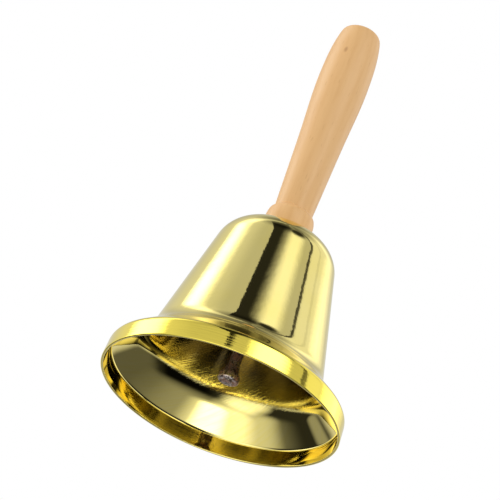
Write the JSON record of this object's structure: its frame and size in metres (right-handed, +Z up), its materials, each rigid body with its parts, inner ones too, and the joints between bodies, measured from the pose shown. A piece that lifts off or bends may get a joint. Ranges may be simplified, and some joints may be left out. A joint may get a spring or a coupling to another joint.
{
  "type": "sanctus bell",
  "caption": "Hand bell with a flared, bright gold-coloured shell, a turned wooden handle and a free-swinging clapper.",
  "frame": {"origin": "centre of the mouth, in the plane of the rim that the bell stands on", "axes": "+Z up the bell's axis to the end of the handle; the clapper's main swing is in the XZ plane, about Y"},
  "size_m": [0.09, 0.09, 0.167],
  "materials": {
    "gold_plate": "mirror-bright gold-coloured plating",
    "light_wood": "smooth turned light wood, satin clear lacquer",
    "zinc_steel": "bright zinc-plated steel",
    "clapper_steel": "nickel-plated steel, scuffed"
  },
  "bodies": {
    "bell": {"bell_shell": "gold_plate", "handle": "light_wood", "hanger_eye": "zinc_steel", "crown_washer": "zinc_steel", "lock_washer": "zinc_steel", "hex_nut": "zinc_steel"},
    "link": {"chain_link": "zinc_steel"},
    "clapper": {"clapper_stem": "clapper_steel", "clapper_head": "clapper_steel"}
  },
  "joints": [
    {"name": "link_swing", "type": "hinge", "parent": "bell", "child": "link", "pos_m": [0, 0, 0.0529], "axis": [0, 1, 0], "range_deg": [-38, 38]},
    {"name": "clapper_swing", "type": "hinge", "parent": "link", "child": "clapper", "pos_m": [0, 0, 0.0418], "axis": [1, 0, 0], "range_deg": [-12, 12]}
  ]
}
